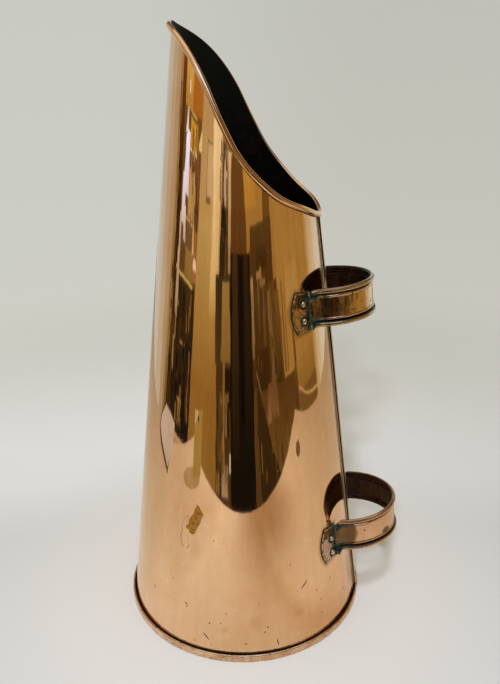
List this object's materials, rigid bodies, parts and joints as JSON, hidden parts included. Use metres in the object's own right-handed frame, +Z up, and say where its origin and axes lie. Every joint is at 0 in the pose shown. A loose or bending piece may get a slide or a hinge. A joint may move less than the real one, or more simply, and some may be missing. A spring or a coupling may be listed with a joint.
{
  "type": "coal scuttle",
  "caption": "Tall tapered coal scuttle in sheet copper with a slanted wired mouth, a lock seam, a folded base and riveted strap handles.",
  "frame": {"origin": "centre of the round underside, on the surface that the scuttle stands on", "axes": "+Z up, +X towards the seam and both handles, -X towards the tall lip of the mouth"},
  "size_m": [0.2939, 0.2558, 0.5838],
  "materials": {
    "copper_body": "polished copper sheet, lightly stained and scratched, dark and unpolished inside",
    "copper_base": "polished copper sheet with a worn rim",
    "copper_strap": "polished copper with dark tarnish and verdigris in the grooves and near the rivets",
    "copper_rivet": "polished copper dome rivets with a dark ring of tarnish",
    "steel_wire": "plain drawn steel wire, hidden in the rolled edges"
  },
  "bodies": {
    "root": {"body_shell": "copper_body", "mouth_wire": "steel_wire", "base_plate": "copper_base", "upper_handle_strap": "copper_strap", "upper_handle_top_wire": "steel_wire", "upper_handle_bottom_wire": "steel_wire", "upper_handle_rivet_left_top": "copper_rivet", "upper_handle_rivet_left_bottom": "copper_rivet", "upper_handle_rivet_right_top": "copper_rivet", "upper_handle_rivet_right_bottom": "copper_rivet", "lower_handle_strap": "copper_strap", "lower_handle_top_wire": "steel_wire", "lower_handle_bottom_wire": "steel_wire", "lower_handle_rivet_left_top": "copper_rivet", "lower_handle_rivet_left_bottom": "copper_rivet", "lower_handle_rivet_right_top": "copper_rivet", "lower_handle_rivet_right_bottom": "copper_rivet"}
  },
  "joints": []
}
